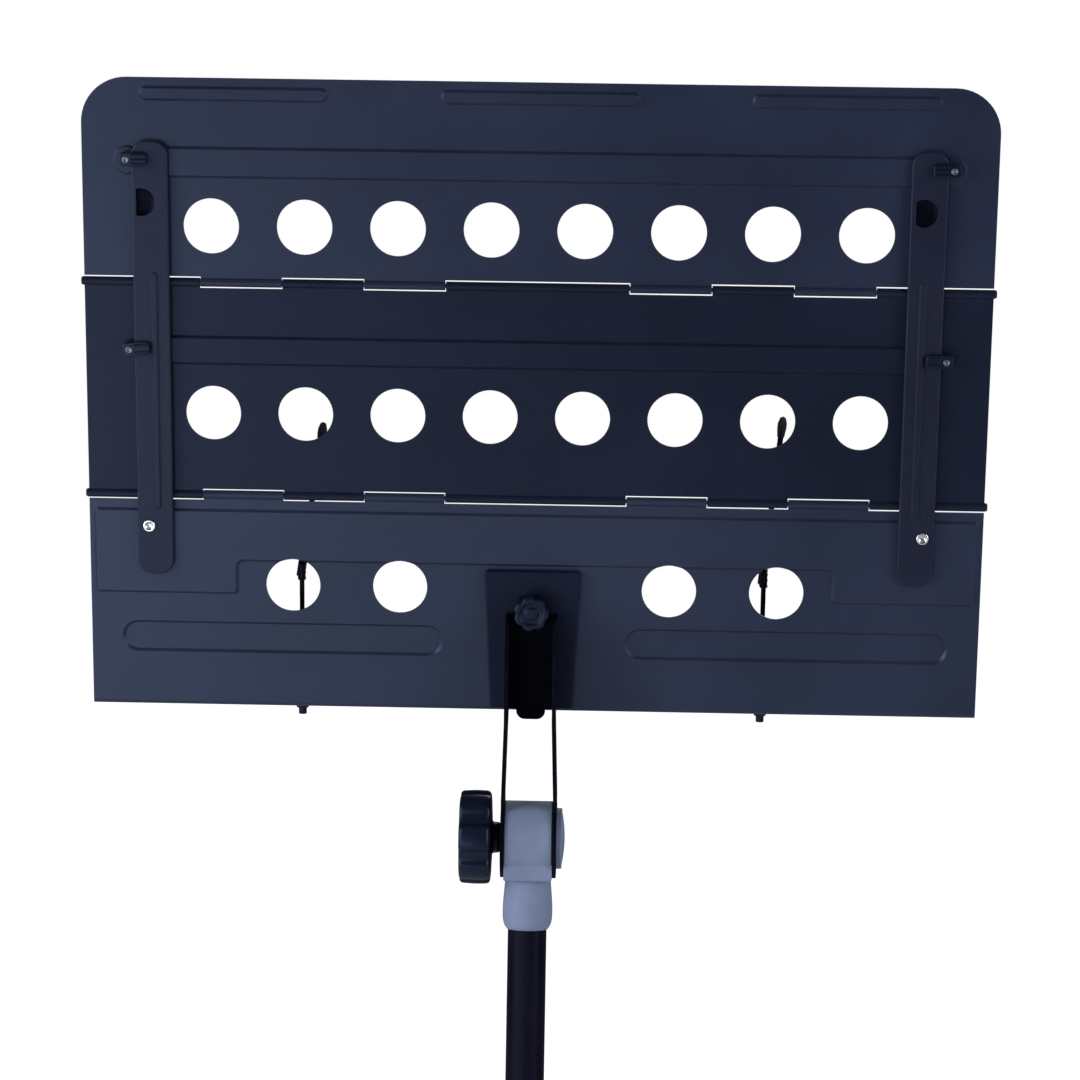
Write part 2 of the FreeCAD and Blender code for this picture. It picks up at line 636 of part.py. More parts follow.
def outer_tube():
    tube = cyl(SLEEVE_R, SLEEVE_TO - SLEEVE_FROM, V(0, 0, SLEEVE_FROM), Z)
    return tube.cut(cyl(SLEEVE_R - 1.5, SLEEVE_TO, V(0, 0, SLEEVE_FROM - 1), Z))


def height_collar():
    """Clamp collar on top of the outer tube, with a boss for the height screw."""
    body = cyl(COLLAR_R, 54, V(0, 0, 446), Z)
    body = body.makeFillet(3.0, [e for e in body.Edges if len(e.Vertexes) == 1])
    boss = cyl(8.5, 10.5, V(-COLLAR_R + 4, 0, SCREW_Z), -X)
    shoulder = box(-COLLAR_R - 2.5, -COLLAR_R + 5, -5, 5, SCREW_Z - 26, SCREW_Z)
    body = fuse([body, boss, shoulder])
    tools = [cyl(SLEEVE_R + 0.02, SLEEVE_TO - 440, V(0, 0, 440), Z),
             cyl(13.0, 24.0, V(0, 0, SLEEVE_TO), Z),
             cyl(TUBE_R + 0.5, 60, V(0, 0, SLEEVE_TO - 10), Z),
             cyl(4.06, 40, V(-10, 0, SCREW_Z), -X)]
    return cut(body, tools)


def collar_bush():
    ring = cyl(12.96, 23.6, V(0, 0, SLEEVE_TO + 0.2), Z)
    return ring.cut(cyl(TUBE_R + 0.06, 60, V(0, 0, SLEEVE_TO - 10), Z))


def height_knob():
    return placed(lobed_knob(21.0, 16.0, 7, 8.0, 3.0, 4.0), V(-27.0, 0, SCREW_Z), -X)


def height_screw():
    return cyl(4.0, 27.0, V(-13.1, 0, SCREW_Z), -X)


def base_plug():
    disc = cyl(SLEEVE_R + 1.5, 5, V(0, 0, SLEEVE_FROM - 5), Z)
    disc = disc.makeFillet(1.5, [e for e in disc.Edges if e.BoundBox.ZMax < SLEEVE_FROM - 4])
    stem = cyl(SLEEVE_R - 1.52, 18, V(0, 0, SLEEVE_FROM - 1), Z)
    return fuse([disc, stem])


def polar(shape, azimuth):
    turned = shape.copy()
    turned.rotate(V(0, 0, 0), Z, azimuth)
    return turned


def leg_hub():
    body = cyl(HUB_R, HUB_TO - HUB_FROM, V(0, 0, HUB_FROM), Z)
    body = body.makeFillet(4.0, [e for e in body.Edges if len(e.Vertexes) == 1])
    r, z = LEG_PIVOT
    parts = [body]
    for azimuth in LEG_AZIMUTHS:
        for side in (-1, 1):
            y0, y1 = sorted((side * (LEG_W / 2 + 0.3), side * (LEG_W / 2 + 4.3)))
            lug = plate([(18, z - 13, 0), (r, z - 11, 10), (r + 11, z, 10.5), (r, z + 11, 10),
                         (18, z + 17, 0)], y0, y1)
            parts.append(polar(lug, azimuth))
    body = fuse(parts)
    tools = [cyl(SLEEVE_R + 0.02, 100, V(0, 0, HUB_FROM - 20), Z)]
    for azimuth in LEG_AZIMUTHS:
        tools.append(polar(cyl(3.02, 40, V(r, -20, z), Y), azimuth))
    return cut(body, tools)


def leg_bolts():
    r, z = LEG_PIVOT
    reach = LEG_W / 2 + 4.4
    bolts = []
    for azimuth in LEG_AZIMUTHS:
        shank = cyl(3.0, 2 * reach, V(r, -reach, z), Y)
        heads = []
        for side in (-1, 1):
            head = cyl(5.4, 3.0, V(r, side * reach, z), Y * side)
            far = [e for e in head.Edges if len(e.Vertexes) == 1
                   and abs(e.BoundBox.YMax) > reach + 2 and abs(e.BoundBox.YMin) > reach + 2]
            heads.append(head.makeFillet(1.0, far))
        bolts.append(polar(fuse([shank] + heads), azimuth))
    return Part.makeCompound(bolts)


def leg_solid():
    """Outside of one leg, drawn along +X from the pivot and then dropped to the floor."""
    r, z = LEG_PIVOT
    bar = box(0, LEG_L, -LEG_W / 2, LEG_W / 2, -LEG_H / 2, LEG_H / 2)
    bar = fuse([bar, cyl(LEG_H / 2, LEG_W, V(0, -LEG_W / 2, 0), Y)])
    bar.rotate(V(0, 0, 0), Y, LEG_DROP)
    bar.translate(V(r, 0, z))
    return bar


def leg(azimuth):
    r, z = LEG_PIVOT
    wall = 1.5
    hollow = box(18, LEG_L - wall, -LEG_W / 2 + wall, LEG_W / 2 - wall,
                 -LEG_H / 2 + wall, LEG_H / 2 - wall)
    hollow.rotate(V(0, 0, 0), Y, LEG_DROP)
    hollow.translate(V(r, 0, z))
    bore = cyl(3.07, 40, V(r, -20, z), Y)
    return polar(leg_solid().cut(hollow).cut(bore), azimuth)


def foot(azimuth):
    boot = cyl(FOOT_R, 33, V(FOOT_AT, 0, 0), Z)
    boot = boot.makeFillet(2.0, [e for e in boot.Edges if len(e.Vertexes) == 1])
    return polar(boot.cut(leg_solid()), azimuth)


DESK_NODES = {
    "upper_panel": upper_panel,
    "middle_panel": middle_panel,
    "lower_panel": lower_panel,
    "ledge": ledge,
    "upper_hinge_pin": lambda: hinge_pin(MIDDLE_H),
    "lower_hinge_pin": lambda: hinge_pin(0.0),
    "left_arm": lambda: arm(-1),
    "right_arm": lambda: arm(1),
    "arm_rivets": arm_rivets,
    "arm_spacers": arm_spacers,
    "upper_left_latch": lambda: latch(-1, "upper"),
    "upper_right_latch": lambda: latch(1, "upper"),
    "middle_left_latch": lambda: latch(-1, "middle"),
    "middle_right_latch": lambda: latch(1, "middle"),
    "upper_latch_rivets": lambda: latch_rivets("upper"),
    "middle_latch_rivets": lambda: latch_rivets("middle"),
    "holder_bases": holder_bases,
    "holder_nuts": holder_nuts,
    "left_holder_rod": lambda: holder_rod("left"),
    "right_holder_rod": lambda: holder_rod("right"),
    "left_holder_sleeve": lambda: holder_sleeve("left"),
    "right_holder_sleeve": lambda: holder_sleeve("right"),
    "left_holder_slider": lambda: holder_slider("left"),
    "right_holder_slider": lambda: holder_slider("right"),
    "left_holder_tip": lambda: holder_tip("left"),
    "right_holder_tip": lambda: holder_tip("right"),
    "desk_bracket": bracket,
    "bracket_nut": bracket_nut,
    "yoke": yoke,
    "desk_knob": desk_knob,
    "desk_screw": desk_screw,
}

CENTRED = ("desk_bracket", "bracket_nut", "yoke", "desk_knob", "desk_screw")

STAND_NODES = {
    "tilt_head": tilt_head,
    "tilt_bolt": tilt_bolt,
    "tilt_cap": tilt_cap,
    "tilt_knob": tilt_knob,
    "inner_tube": inner_tube,
    "tube_plug": tube_plug,
    "outer_tube": outer_tube,
    "height_collar": height_collar,
    "collar_bush": collar_bush,
    "height_knob": height_knob,
    "height_screw": height_screw,
    "base_plug": base_plug,
    "leg_hub": leg_hub,
    "leg_bolts": leg_bolts,
}
for number, heading in enumerate(LEG_AZIMUTHS, start=1):
    STAND_NODES["leg_%d" % number] = lambda a=heading: leg(a)
    STAND_NODES["foot_%d" % number] = lambda a=heading: foot(a)


def lean(shape, offset):
    """Move a piece from the desk frame to the row frame, leaning about the tilt axis."""
    moved = shape.copy()
    moved.translate(V(offset, -PIVOT_Y, -PIVOT_Z))
    moved.rotate(V(0, 0, 0), X, TILT)
    moved.translate(V(0, 0, AXIS_H))
    return moved


def main():
    os.makedirs("parts", exist_ok=True)
    for name, build in DESK_NODES.items():
        offset = 0.0 if name in CENTRED else DESK_OFFSET
        lean(build(), offset).exportStep("parts/%s.step" % name)
    for name, build in STAND_NODES.items():
        build().exportStep("parts/%s.step" % name)


main()
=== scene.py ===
"""Orchestra music stand: materials, detail pieces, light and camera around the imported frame."""
import math

import bmesh
import bpy
from mathutils import Matrix, Vector


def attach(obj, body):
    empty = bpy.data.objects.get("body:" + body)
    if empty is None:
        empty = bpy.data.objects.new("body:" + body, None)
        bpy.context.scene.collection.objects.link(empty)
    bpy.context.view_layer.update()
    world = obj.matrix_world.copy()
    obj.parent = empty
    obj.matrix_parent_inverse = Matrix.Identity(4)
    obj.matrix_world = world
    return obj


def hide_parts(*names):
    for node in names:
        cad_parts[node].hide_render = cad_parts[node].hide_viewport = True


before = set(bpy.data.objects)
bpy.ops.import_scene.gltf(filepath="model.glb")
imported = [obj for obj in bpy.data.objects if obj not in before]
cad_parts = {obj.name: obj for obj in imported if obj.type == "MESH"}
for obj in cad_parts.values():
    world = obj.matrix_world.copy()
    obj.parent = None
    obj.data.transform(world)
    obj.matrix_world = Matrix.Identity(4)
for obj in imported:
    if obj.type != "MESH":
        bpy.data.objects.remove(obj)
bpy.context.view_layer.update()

# ---- desk frame: x across, y towards the player, z up the panels, origin on the lower hinge ----
TILT = math.radians(13.13)
PIVOT = Vector((0.0, -0.018, -0.1928))  # the tilt axis in the desk frame
AXIS = Vector((0.0, 0.0, 0.8))      # and in the world
DESK = Matrix.Translation(AXIS) @ Matrix.Rotation(TILT, 4, "X") @ Matrix.Translation(-PIVOT)
BACK = (DESK.to_3x3() @ Vector((0, -1, 0))).normalized()
OFFSET = 0.0012                     # from the mast's axis to the panels' middle

# ---- places in the desk frame, metres; x is taken from the panels' middle ----
SIDES = (("left", -1), ("right", 1))
ARM_X = 0.2124
ARM_HALF = 0.0094                   # a little less than half the arm's width
ARM_RIVET_X, ARM_RIVET_Z = 0.2159, -0.0174
LATCH_X = 0.225
LATCH_ROWS = (("upper", 0.1879), ("middle", 0.0829))
THUMB_Z = 0.1644
THUMB_SHIFT = {"left": -0.0051, "right": -0.0026}
HEIGHT_KNOB = (-0.027, 0.0, 0.484)  # in the world

BLUE_SHEEN = (0.52, 0.66, 1.0)


# ======================= node helpers =======================
class Tree:
    """Short hand for building one material's node tree."""

    def __init__(self, name):
        self.mat = bpy.data.materials.new(name)
        self.mat.use_nodes = True
        self.nodes = self.mat.node_tree.nodes
        self.links = self.mat.node_tree.links
        self.shader = self.nodes["Principled BSDF"]
        self.coords = self.nodes.new("ShaderNodeTexCoord").outputs["Object"]

    def add(self, kind, **values):
        node = self.nodes.new(kind)
        for key, value in values.items():
            if key in node.inputs:
                node.inputs[key].default_value = value
            else:
                setattr(node, key, value)
        return node

    def link(self, source, target):
        self.links.new(source, target)
        return target

    def noise(self, scale, detail=3.0, rough=0.55, stretch=None):
        node = self.add("ShaderNodeTexNoise", Scale=scale, Detail=detail, Roughness=rough)
        if stretch:
            mapping = self.add("ShaderNodeMapping")
            mapping.inputs["Scale"].default_value = stretch
            self.link(self.coords, mapping.inputs["Vector"])
            self.link(mapping.outputs["Vector"], node.inputs["Vector"])
        else:
            self.link(self.coords, node.inputs["Vector"])
        return node.outputs["Fac"]

    def span(self, value, low, high, from_low=0.3, from_high=0.7):
        node = self.add("ShaderNodeMapRange")
        node.inputs["From Min"].default_value = from_low
        node.inputs["From Max"].default_value = from_high
        node.inputs["To Min"].default_value = low
        node.inputs["To Max"].default_value = high
        self.link(value, node.inputs["Value"])
        return node.outputs["Result"]

    def mix(self, fac, a, b):
        node = self.nodes.new("ShaderNodeMix")
        node.data_type = "RGBA"
        self.link(fac, node.inputs[0])
        for socket, value in ((node.inputs[6], a), (node.inputs[7], b)):
            if isinstance(value, bpy.types.NodeSocket):
                self.link(value, socket)
            else:
                socket.default_value = (*value, 1.0)
        return node.outputs[2]

    def math(self, operation, a, b):
        node = self.add("ShaderNodeMath", operation=operation)
        for i, value in enumerate((a, b)):
            if isinstance(value, bpy.types.NodeSocket):
                self.link(value, node.inputs[i])
            else:
                node.inputs[i].default_value = value
        return node.outputs[0]

    def edge(self, radius, samples=4):
        """1 on edges within radius, 0 on flat areas."""
        bevel = self.add("ShaderNodeBevel", samples=samples)
        bevel.inputs["Radius"].default_value = radius
        geo = self.add("ShaderNodeNewGeometry")
        dot = self.add("ShaderNodeVectorMath", operation="DOT_PRODUCT")
        self.link(bevel.outputs[0], dot.inputs[0])
        self.link(geo.outputs["Normal"], dot.inputs[1])
        return self.span(dot.outputs["Value"], 1.0, 0.0, 0.80, 0.985)

    def finish(self, colour, rough, heights=(), metallic=0.0, specular=0.5,
               tint=(1.0, 1.0, 1.0), bevel=0.0):
        """Connect colour and roughness, chain the bumps (height, strength, distance)."""
        shader = self.shader
        if isinstance(colour, bpy.types.NodeSocket):
            self.link(colour, shader.inputs["Base Color"])
        else:
            shader.inputs["Base Color"].default_value = (*colour, 1.0)
        if isinstance(rough, bpy.types.NodeSocket):
            self.link(rough, shader.inputs["Roughness"])
        else:
            shader.inputs["Roughness"].default_value = rough
        shader.inputs["Metallic"].default_value = metallic
        shader.inputs["Specular IOR Level"].default_value = specular
        shader.inputs["Specular Tint"].default_value = (*tint, 1.0)
        normal = None
        if bevel:
            node = self.add("ShaderNodeBevel", samples=4)
            node.inputs["Radius"].default_value = bevel
            normal = node.outputs[0]
        for height, strength, distance in heights:
            bump = self.add("ShaderNodeBump")
            bump.inputs["Strength"].default_value = strength
            bump.inputs["Distance"].default_value = distance
            self.link(height, bump.inputs["Height"])
            if normal is not None:
                self.link(normal, bump.inputs["Normal"])
            normal = bump.outputs["Normal"]
        if normal is not None:
            self.link(normal, shader.inputs["Normal"])
        return self.mat


def toned(colour, gain, lift=0.0):
    """A colour scaled and lifted, held at white or below."""
    return tuple(min(1.0, c * gain + lift) for c in colour)


def powder_coat(name, colour, rough=0.40, worn=0.5, specular=0.4, bevel=0.0003):
    """Satin powder coat: fine orange peel, faint dust mottling and lighter rubbed edges."""
    t = Tree(name)
    grain = t.noise(2300.0, 2.0)
    peel = t.noise(420.0, 2.0)
    cloud = t.noise(9.0, 4.0, 0.6)
    base = t.mix(t.span(cloud, 0.0, 1.0, 0.35, 0.65), toned(colour, 0.88), toned(colour, 1.14, 0.001))
    speck = t.span(t.noise(1500.0, 1.0), 0.0, 0.35, 0.62, 0.75)
    base = t.mix(speck, base, toned(colour, 1.9, 0.006))
    rub = t.math("MULTIPLY", t.edge(0.0009), t.span(t.noise(160.0, 4.0, 0.7), 0.0, worn, 0.42, 0.66))
    base = t.mix(rub, base, toned(colour, 2.6, 0.02))
    roughness = t.span(cloud, rough - 0.05, rough + 0.06, 0.3, 0.7)
    return t.finish(base, roughness, ((peel, 0.16, 0.0003), (grain, 0.2, 0.0001)), bevel=bevel,
                    specular=specular, tint=BLUE_SHEEN)


def moulded(name, colour, rough=0.5, grain=900.0, strength=0.25, bevel=0.0004):
    """Moulded plastic: fine spark texture, flow variation, slightly polished edges."""
    t = Tree(name)
    cloud = t.noise(35.0, 4.0, 0.6)
    base = t.mix(t.span(cloud, 0.0, 1.0), toned(colour, 0.86), toned(colour, 1.12))
    edge = t.edge(0.0008)
    base = t.mix(t.math("MULTIPLY", edge, 0.35), base, toned(colour, 1.6, 0.01))
    roughness = t.math("SUBTRACT", t.span(cloud, rough - 0.05, rough + 0.07),
                       t.math("MULTIPLY", edge, 0.12))
    return t.finish(base, roughness, ((t.noise(grain, 2.0), strength, 0.0002),), bevel=bevel,
                    specular=0.3, tint=BLUE_SHEEN)


def gloss_coat(name, colour, rough=0.30, specular=0.16, bevel=0.0003):
    """Glossy stoved black on tube and strip: long faint waviness, hairline scuffs."""
    t = Tree(name)
    scuff = t.noise(60.0, 5.0, 0.7, (1.0, 1.0, 0.12))
    fine = t.noise(1400.0, 3.0, 0.6, (1.0, 1.0, 0.05))
    base = t.mix(t.span(scuff, 0.0, 1.0, 0.4, 0.7), colour, toned(colour, 1.5, 0.003))
    rub = t.math("MULTIPLY", t.edge(0.0007), t.span(t.noise(200.0, 4.0, 0.7), 0.0, 0.5, 0.45, 0.66))
    base = t.mix(rub, base, toned(colour, 3.0, 0.03))
    roughness = t.span(scuff, rough - 0.03, rough + 0.14, 0.35, 0.75)
    return t.finish(base, roughness, ((fine, 0.08, 0.0001), (scuff, 0.04, 0.0006)), bevel=bevel,
                    specular=specular, tint=BLUE_SHEEN)


def bright_metal(name, colour, rough, brushed=False, bevel=0.00015):
    """Plated or bare steel: slight clouding, and brush lines when asked for."""
    t = Tree(name)
    stretch = (1.0, 1.0, 0.04) if brushed else None
    fine = t.noise(1600.0, 3.0, 0.6, stretch)
    cloud = t.noise(120.0, 4.0, 0.6)
    base = t.mix(t.span(cloud, 0.0, 1.0), toned(colour, 0.8), colour)
    roughness = t.span(cloud, rough, rough + 0.14)
    return t.finish(base, roughness, ((fine, 0.12, 0.0001),), metallic=1.0, bevel=bevel)


def rubber(name, colour=(0.018, 0.018, 0.021), rough=0.72):
    """Black rubber with a little grey dust and a fine grain."""
    t = Tree(name)
    dust = t.noise(70.0, 5.0, 0.65)
    base = t.mix(t.span(dust, 0.0, 0.55, 0.45, 0.75), colour, (0.07, 0.068, 0.066))
    return t.finish(base, t.span(dust, rough - 0.06, rough + 0.12),
                    ((t.noise(700.0, 3.0), 0.35, 0.0003),), bevel=0.0006, specular=0.35)


def assign(material, *nodes):
    """Put one material in every slot of the named CAD nodes."""
    for name in nodes:
        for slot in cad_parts[name].material_slots:
            slot.material = material


# ======================= materials for the carried-over parts =======================
# The sheets share one powder coat; their colours differ as painted shade and painted light for how each
# panel faces the lamps: the middle panel darkest, the lower lightest.
SHEET_PAINTED_SHADES = {                          # colour and sheen of each sheet
    "upper_panel": ((0.0135, 0.0170, 0.036), 0.42),
    "middle_panel": ((0.0065, 0.0085, 0.020), 0.26),
    "lower_panel": ((0.0150, 0.0190, 0.038), 0.48),
    "ledge": ((0.0140, 0.0175, 0.034), 0.42),
}
for node_name, (shade, sheen) in SHEET_PAINTED_SHADES.items():
    assign(powder_coat("coat_" + node_name, shade, specular=sheen), node_name)
ARM_COAT = powder_coat("coat_arm", (0.012, 0.013, 0.027), 0.38, specular=0.24)
assign(ARM_COAT, "left_arm", "right_arm")
assign(powder_coat("coat_bracket", (0.006, 0.008, 0.019), 0.40, specular=0.14), "desk_bracket")
assign(powder_coat("coat_pins", (0.016, 0.018, 0.030), 0.36, 0.8), "upper_hinge_pin", "lower_hinge_pin")
BLACK_PLASTIC = moulded("plastic_black", (0.0055, 0.0075, 0.018), 0.34)
assign(BLACK_PLASTIC, "arm_spacers", "upper_left_latch", "upper_right_latch", "middle_left_latch",
       "middle_right_latch", "holder_nuts", "desk_knob", "tilt_knob", "height_knob", "tube_plug")
RIVET = bright_metal("metal_rivet", (0.82, 0.82, 0.83), 0.14)
assign(RIVET, "arm_rivets", "upper_latch_rivets", "middle_latch_rivets")
RIVET_DULL = bright_metal("metal_rivet_dull", (0.18, 0.19, 0.225), 0.38)
# Near-black coat for the pads behind the thumb holes: painted shade for the dark inside of each hole.
CUP_PAINTED_SHADE = gloss_coat("coat_cup_painted_shade", (0.0014, 0.0016, 0.0045), 0.36, specular=0.06)
ZINC = bright_metal("metal_zinc", (0.62, 0.63, 0.65), 0.24, True)
assign(ZINC, "bracket_nut", "desk_screw", "tilt_bolt", "height_screw", "leg_bolts", "holder_bases")
WIRE = gloss_coat("coat_wire", (0.008, 0.008, 0.012), 0.24)
assign(WIRE, "left_holder_rod", "right_holder_rod", "left_holder_sleeve", "right_holder_sleeve",
       "left_holder_slider", "right_holder_slider")
SOFT = rubber("rubber_tip", (0.010, 0.010, 0.013), 0.62)
assign(SOFT, "left_holder_tip", "right_holder_tip")
GREY = moulded("plastic_bluegrey", (0.190, 0.225, 0.335), 0.50, 700.0, 0.35)
assign(GREY, "tilt_head", "tilt_cap", "height_collar", "leg_hub")
MAST = gloss_coat("coat_mast", (0.0030, 0.0026, 0.0075), 0.34, specular=0.06)
assign(MAST, "inner_tube", "outer_tube", "leg_1", "leg_2", "leg_3")
# The yoke is a black coat darkened further as painted shade for the shadow inside its U between the
# flanges.
assign(gloss_coat("coat_yoke_painted_shade", (0.0010, 0.0011, 0.0035), 0.5, specular=0.04), "yoke")
assign(rubber("rubber_foot"), "foot_1", "foot_2", "foot_3", "base_plug")
assign(moulded("plastic_bush", (0.72, 0.72, 0.69), 0.4), "collar_bush")


# ======================= mesh pieces that replace plain parts =======================
def new_object(name, builder, material):
    """A smooth-shaded object from a bmesh, which is freed."""
    mesh = bpy.data.meshes.new(name)
    bmesh.ops.recalc_face_normals(builder, faces=builder.faces)
    builder.to_mesh(mesh)
    builder.free()
    mesh.polygons.foreach_set("use_smooth", [True] * len(mesh.polygons))
    mesh.materials.append(material)
    piece = bpy.data.objects.new(name, mesh)
    bpy.context.collection.objects.link(piece)
    return piece


def aligned(base, along):
    """Matrix that takes +Z to a direction, with its foot at base."""
    turn = Vector((0, 0, 1)).rotation_difference(Vector(along).normalized())
    return Matrix.Translation(base) @ turn.to_matrix().to_4x4()


def lathe(builder, profile, matrix, segments=48, shape=None):
    """Turned closed form from (radius, height) points; shape(angle, radius) can lobe it."""
    rings = []
    for r, h in profile:
        if r < 1e-7:
            rings.append([builder.verts.new(matrix @ Vector((0, 0, h)))])
            continue
        ring = []
        for i in range(segments):
            a = 2 * math.pi * i / segments
            radius = shape(a, r) if shape else r
            ring.append(builder.verts.new(matrix @ Vector((radius * math.cos(a), radius * math.sin(a), h))))
        rings.append(ring)
    for one, two in zip(rings, rings[1:]):
        if len(one) == 1 and len(two) == 1:
            continue
        for i in range(segments):
            j = (i + 1) % segments
            if len(one) == 1:
                builder.faces.new((one[0], two[j], two[i]))
            elif len(two) == 1:
                builder.faces.new((one[i], one[j], two[0]))
            else:
                builder.faces.new((one[i], one[j], two[j], two[i]))


def rounded(points, radius, steps=4):
    """Profile points (r, h) with their corners rounded, for lathe()."""
    out = [points[0]]
    for before, here, after in zip(points, points[1:], points[2:]):
        p, a, b = (Vector(q) for q in (here, before, after))
        cut_a = min(radius, (a - p).length * 0.45)
        cut_b = min(radius, (b - p).length * 0.45)
        start = p + (a - p).normalized() * cut_a
        end = p + (b - p).normalized() * cut_b
        for i in range(steps + 1):
            t = i / steps
            q = start.lerp(p, t).lerp(p.lerp(end, t), t)
            out.append((q.x, q.y))
    out.append(points[-1])
    return out


def star_knob(name, matrix, body, node, radius, height, neck_r, neck_h, bore_r):
    """Seven-lobed clamp knob with rounded lobes, a dished face, a centre boss and a neck."""
    lobes = 7

    def lobe(angle, r):
        share = max(0.0, min(1.0, (r / radius - 0.62) / 0.26))
        phase = (angle * lobes / (2 * math.pi) + 0.5) % 1.0 - 0.5
        groove = 1.0 / (1.0 + math.exp((abs(phase) - 0.315) / -0.03))
        return r * (1.0 - 0.105 * groove * share)

    top = neck_h + height
    outline = [(bore_r, 0.0), (neck_r, 0.0), (neck_r, neck_h), (radius * 0.80, neck_h),
               (radius * 0.99, neck_h + height * 0.03), (radius, neck_h + height * 0.5),
               (radius * 0.98, top), (radius * 0.66, top), (radius * 0.60, top - height * 0.16),
               (radius * 0.36, top - height * 0.16), (radius * 0.33, top - height * 0.04),
               (0.0, top - height * 0.04)]
    profile = rounded(outline, radius * 0.09, 5)
    inner = [(bore_r, 0.0), (bore_r, neck_h + height * 0.7), (0.0, neck_h + height * 0.7)]
    builder = bmesh.new()
    lathe(builder, list(reversed(inner))[:-1] + profile, matrix, 196, lobe)
    piece = new_object(name, builder, BLACK_PLASTIC)
    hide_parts(node)
    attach(piece, body)


def ring_rivets(name, places, profile, material, body, node):
    """Turned rivets sharing one profile, one at each place, as a single mesh."""
    builder = bmesh.new()
    for place in places:
        lathe(builder, profile, aligned(DESK @ Vector(place), BACK), 40)
    piece = new_object(name, builder, material)
    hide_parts(node)
    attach(piece, body)


def make_knobs():
    """The three clamp knobs, each with its face away from what it clamps."""
    left = (-1, 0, 0)
    turned = Matrix.Rotation(math.radians(17.5), 4, "Z")
    star_knob("tilt_knob_star", aligned((-0.01585, 0.0, AXIS.z), left) @ turned, "tilt_clamp",
              "tilt_knob", radius=0.0267, height=0.0178, neck_r=0.0088, neck_h=0.0053, bore_r=0.0031)
    star_knob("desk_knob_star", aligned(DESK @ Vector((0.0, -0.0074, -0.0615)), BACK), "desk_clamp",
              "desk_knob", radius=0.0098, height=0.0095, neck_r=0.0060, neck_h=0.0020, bore_r=0.0031)
    star_knob("height_knob_star", aligned(HEIGHT_KNOB, left), "height_clamp",
              "height_knob", radius=0.0210, height=0.0160, neck_r=0.0080, neck_h=0.0030, bore_r=0.0041)


def make_rivets():
    """Tubular rivets at the arms' feet and small headed ones at the latches."""
    arm = rounded([(0.0, -0.0001), (0.0036, -0.0001), (0.0036, 0.0008), (0.0025, 0.0008),
                   (0.0025, 0.0050), (0.0034, 0.0050), (0.0034, 0.0061), (0.0022, 0.0061),
                   (0.0016, 0.0052), (0.0016, 0.0046), (0.0, 0.0044)], 0.0005)
    spots = [(OFFSET + side * ARM_RIVET_X, 0.0, ARM_RIVET_Z) for _, side in SIDES]
    ring_rivets("arm_rivet_rings", spots, arm, RIVET, "desk", "arm_rivets")
    small = rounded([(0.0, -0.0012), (0.0024, -0.0012), (0.0024, -0.0006), (0.00135, -0.0006),
                     (0.00135, 0.0078), (0.0019, 0.0078), (0.0019, 0.0086), (0.0012, 0.0087),
                     (0.0009, 0.0083), (0.0, 0.0082)], 0.00035)
    for row, z in LATCH_ROWS:
        spots = [(OFFSET + side * LATCH_X, 0.0, z) for _, side in SIDES]
        ring_rivets(row + "_latch_rings", spots, small, RIVET_DULL, row + "_leaf",
                    row + "_latch_rivets")


def cut_on_left(limit):
    """Shape for lathe() that keeps a disc within a distance of its centre towards -x."""
    def shape(angle, r):
        facing = -math.cos(angle)
        return min(r, limit / facing) if facing > 0.01 else r

    return shape


def make_thumb_cups():
    """Dished pad inside each arm, seen through its thumb hole and kept within the arm; its near-black coat
    is painted shade for the dark inside of the hole.
    """
    cup = rounded([(0.0, 0.0014), (0.0092, 0.0014), (0.0092, 0.00005), (0.0080, 0.00005),
                   (0.0055, 0.0010), (0.0, 0.0012)], 0.0005)
    for name, side in SIDES:
        shift = THUMB_SHIFT[name]
        builder = bmesh.new()
        place = DESK @ Vector((OFFSET + side * ARM_X + shift, -0.0034, THUMB_Z))
        lathe(builder, cup, aligned(place, -BACK), 64, cut_on_left(ARM_HALF + shift))
        piece = new_object(name + "_thumb_cup", builder, CUP_PAINTED_SHADE)
        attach(piece, name + "_stiffener")


make_knobs()
make_rivets()
make_thumb_cups()


# ======================= camera, light, floor =======================
SURROUND = 0.10
COOL = (0.93, 0.96, 1.0)


def make_camera():
    """Nearly level view of the desk's back, from a little to the right of its middle."""
    pitch, yaw, roll = math.radians(-0.72), math.radians(-1.30), math.radians(0.97)
    hinge = DESK @ Vector((0, 0, 0))
    aside, away, above = 0.04379, 1.8, 0.0002
    place = hinge + Vector((OFFSET + aside, -away, above))
    forward = Vector((math.sin(yaw) * math.cos(pitch), math.cos(yaw) * math.cos(pitch), math.sin(pitch)))
    right = Vector((math.cos(yaw), -math.sin(yaw), 0.0))
    up = right.cross(forward)
    rolled = right * math.cos(roll) + up * math.sin(roll)
    rolled_up = -right * math.sin(roll) + up * math.cos(roll)
    data = bpy.data.cameras.new("camera")
    data.sensor_width = 36.0
    data.lens = 107.43
    data.clip_end = 100.0
    camera = bpy.data.objects.new("camera", data)
    basis = Matrix((rolled, rolled_up, -forward)).transposed().to_4x4()
    camera.matrix_world = Matrix.Translation(place) @ basis
    bpy.context.collection.objects.link(camera)
    bpy.context.scene.camera = camera


def area_light(name, place, target, size, power, colour=(1, 1, 1)):
    """Rectangular lamp at place, aimed at target."""
    data = bpy.data.lights.new(name, "AREA")
    data.shape = "RECTANGLE"
    data.size, data.size_y = size
    data.energy = power
    data.color = colour
    lamp = bpy.data.objects.new(name, data)
    aim = (Vector(target) - Vector(place)).to_track_quat("-Z", "Y")
    lamp.matrix_world = Matrix.Translation(place) @ aim.to_matrix().to_4x4()
    bpy.context.collection.objects.link(lamp)


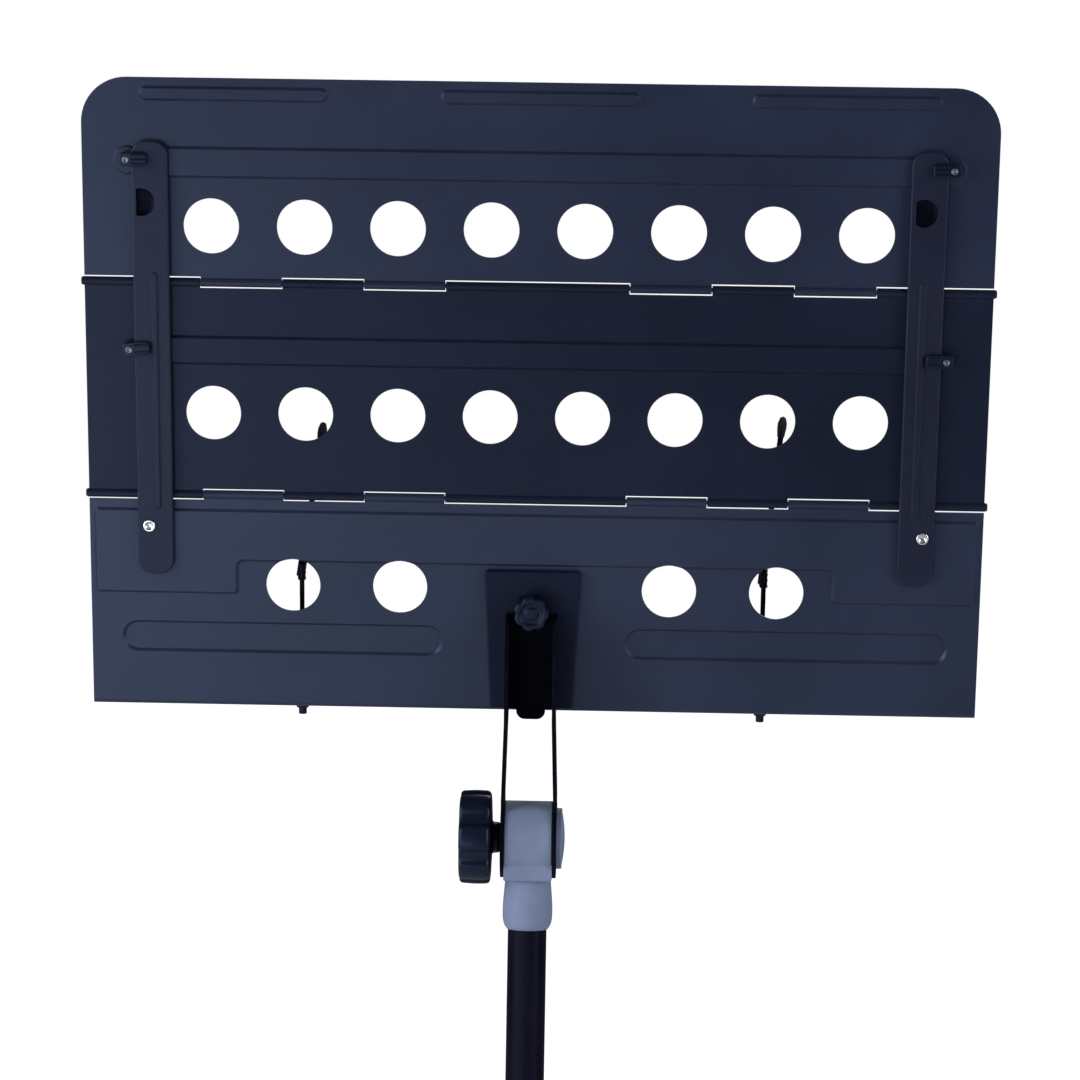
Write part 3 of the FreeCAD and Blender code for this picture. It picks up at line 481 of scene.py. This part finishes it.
def make_world():
    """White backdrop as seen directly, a dim even surround for everything else."""
    world = bpy.data.worlds.new("studio")
    world.use_nodes = True
    nodes, links = world.node_tree.nodes, world.node_tree.links
    seen, dim = nodes["Background"], nodes.new("ShaderNodeBackground")
    pick, ray = nodes.new("ShaderNodeMixShader"), nodes.new("ShaderNodeLightPath")
    seen.inputs["Color"].default_value = (1.0, 1.0, 1.0, 1.0)
    dim.inputs["Color"].default_value = (0.80, 0.86, 1.0, 1.0)
    dim.inputs["Strength"].default_value = SURROUND
    links.new(ray.outputs["Is Camera Ray"], pick.inputs["Fac"])
    links.new(dim.outputs["Background"], pick.inputs[1])
    links.new(seen.outputs["Background"], pick.inputs[2])
    links.new(pick.outputs["Shader"], nodes["World Output"].inputs["Surface"])
    bpy.context.scene.world = world


def make_floor():
    """Pale studio floor that brightens outwards until it meets the backdrop."""
    mesh = bpy.data.meshes.new("floor")
    builder = bmesh.new()
    bmesh.ops.create_circle(builder, cap_ends=True, segments=96, radius=30.0)
    builder.to_mesh(mesh)
    builder.free()
    floor = bpy.data.objects.new("floor", mesh)
    bpy.context.collection.objects.link(floor)
    t = Tree("floor_paper")
    cloud = t.noise(1.5, 3.0)
    colour = t.mix(t.span(cloud, 0.0, 1.0), (0.86, 0.86, 0.86), (0.89, 0.89, 0.89))
    mesh.materials.append(t.finish(colour, 0.8, ((t.noise(300.0, 3.0), 0.05, 0.0005),), specular=0.2))
    reach = t.add("ShaderNodeVectorMath", operation="LENGTH")
    t.link(t.coords, reach.inputs[0])
    glow = t.span(reach.outputs["Value"], 0.42, 1.0, 0.8, 3.6)
    seen = t.add("ShaderNodeLightPath").outputs["Is Camera Ray"]
    t.link(t.math("MULTIPLY", glow, seen), t.shader.inputs["Emission Strength"])
    t.shader.inputs["Emission Color"].default_value = (1.0, 1.0, 1.0, 1.0)


make_camera()
make_world()
make_floor()
area_light("low_box", (-0.95, -1.70, 0.10), (-0.10, 0, 1.0), (1.2, 0.8), 15.0, COOL)
area_light("left_box", (-1.45, -0.80, 1.20), (-0.05, 0, 0.98), (0.7, 1.4), 24.0, COOL)
area_light("right_box", (1.60, -1.00, 1.20), (0.05, 0, 0.98), (0.7, 1.4), 20.0, COOL)
area_light("rim", (0.9, 2.6, 2.6), (0, 0, 0.9), (2.0, 1.6), 22.0)
bpy.context.scene.view_settings.view_transform = "Standard"
